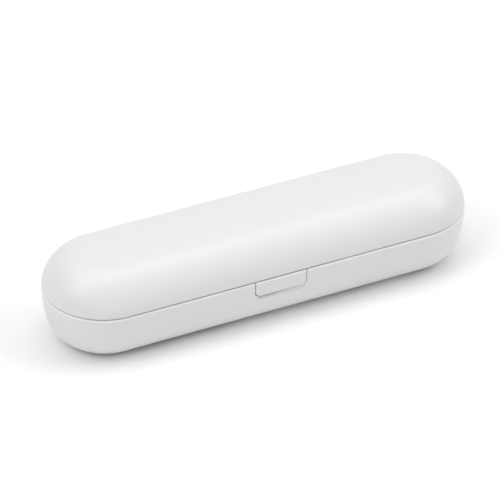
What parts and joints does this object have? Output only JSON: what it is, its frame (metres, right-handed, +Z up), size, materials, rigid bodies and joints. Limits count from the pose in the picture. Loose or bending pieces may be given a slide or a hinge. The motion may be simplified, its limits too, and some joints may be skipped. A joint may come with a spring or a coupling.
{
  "type": "electric toothbrush travel case",
  "caption": "Long rounded hard case for an electric toothbrush: two hinged shells, a front push-button latch, and liners shaped for a handle and brush heads.",
  "frame": {"origin": "on the resting plane, under the middle of the case", "axes": "+X along the case, -Y the front with the button, +Y the back with the hinges, +Z up"},
  "size_m": [0.216, 0.06, 0.0465],
  "materials": {
    "shell": "satin",
    "liner": "fine matt",
    "acetal": "waxy satin",
    "soft": "matt",
    "steel": "bright"
  },
  "bodies": {
    "base": {"base_shell": "shell", "base_tray": "liner", "handle_rest_left": "soft", "handle_rest_right": "soft", "head_clip_left": "acetal", "head_clip_right": "acetal", "tray_screws": "steel", "latch_bracket": "acetal", "bracket_screws": "steel", "hinge_pin_left": "steel", "hinge_pin_right": "steel"},
    "button": {"latch_button": "shell", "latch_spring_left": "steel", "latch_spring_right": "steel"},
    "lid": {"lid_shell": "shell", "lid_liner": "liner", "lid_pad_left": "soft", "lid_pad_right": "soft", "latch_catch": "acetal", "catch_screws": "steel", "liner_screws": "steel"}
  },
  "joints": [
    {"name": "lid_hinge", "type": "hinge", "parent": "base", "child": "lid", "pos_m": [0, 0.0279, 0.0285], "axis": [-1, 0, 0], "range_deg": [0, 110]},
    {"name": "button_press", "type": "slide", "parent": "base", "child": "button", "axis": [0, 1, 0], "range_m": [0, 0.0016], "stiffness_N_per_m": 700, "springref_m": -0.0015, "deforming": ["latch_spring_left", "latch_spring_right"]}
  ]
}
